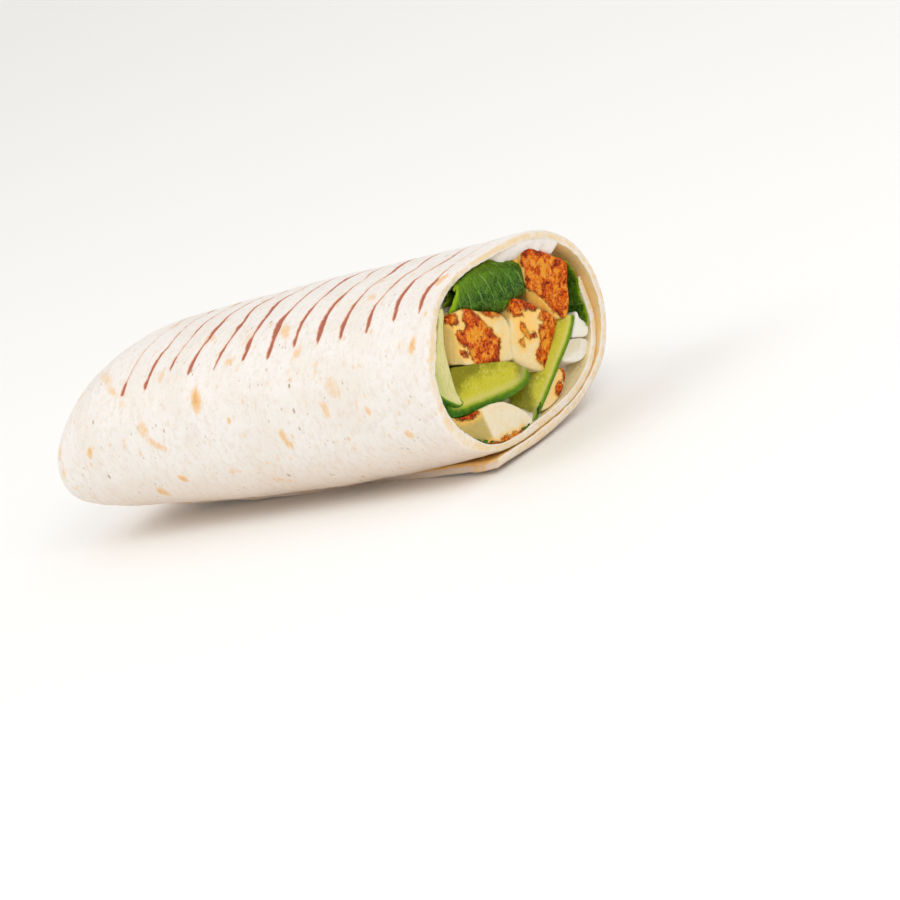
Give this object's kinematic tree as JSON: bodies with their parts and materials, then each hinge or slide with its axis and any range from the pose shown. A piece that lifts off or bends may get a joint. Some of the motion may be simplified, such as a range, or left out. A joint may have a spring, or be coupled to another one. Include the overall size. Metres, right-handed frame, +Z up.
{
  "type": "halloumi wrap",
  "caption": "Half of a grilled halloumi wrap: a rolled tortilla with grill marks, cut across to show halloumi, cucumber, spinach and white sauce.",
  "frame": {"origin": "middle of the tortilla's box at its lowest level, which is the flattened patch it lies on", "axes": "+X along the roll from the folded tail to the cut face, +Z up from the seam side to the grilled side"},
  "size_m": [0.1306, 0.058, 0.0433],
  "materials": {
    "tortilla": "matte baked flour tortilla with toasted marks",
    "sauce": "moist white sauce",
    "halloumi": "fried cheese, browned in patches",
    "cucumber": "wet cucumber flesh and skin",
    "spinach": "dark green leaf"
  },
  "bodies": {
    "root": {"tortilla": "tortilla", "sauce": "sauce", "halloumi_top": "halloumi", "halloumi_left": "halloumi", "halloumi_centre": "halloumi", "halloumi_bottom": "halloumi", "halloumi_right_upper": "halloumi", "halloumi_right_lower": "halloumi", "halloumi_edge": "halloumi", "halloumi_back": "halloumi", "cucumber_long": "cucumber", "cucumber_half": "cucumber", "cucumber_strip": "cucumber", "spinach_folded": "spinach", "spinach_wall": "spinach"}
  },
  "joints": []
}
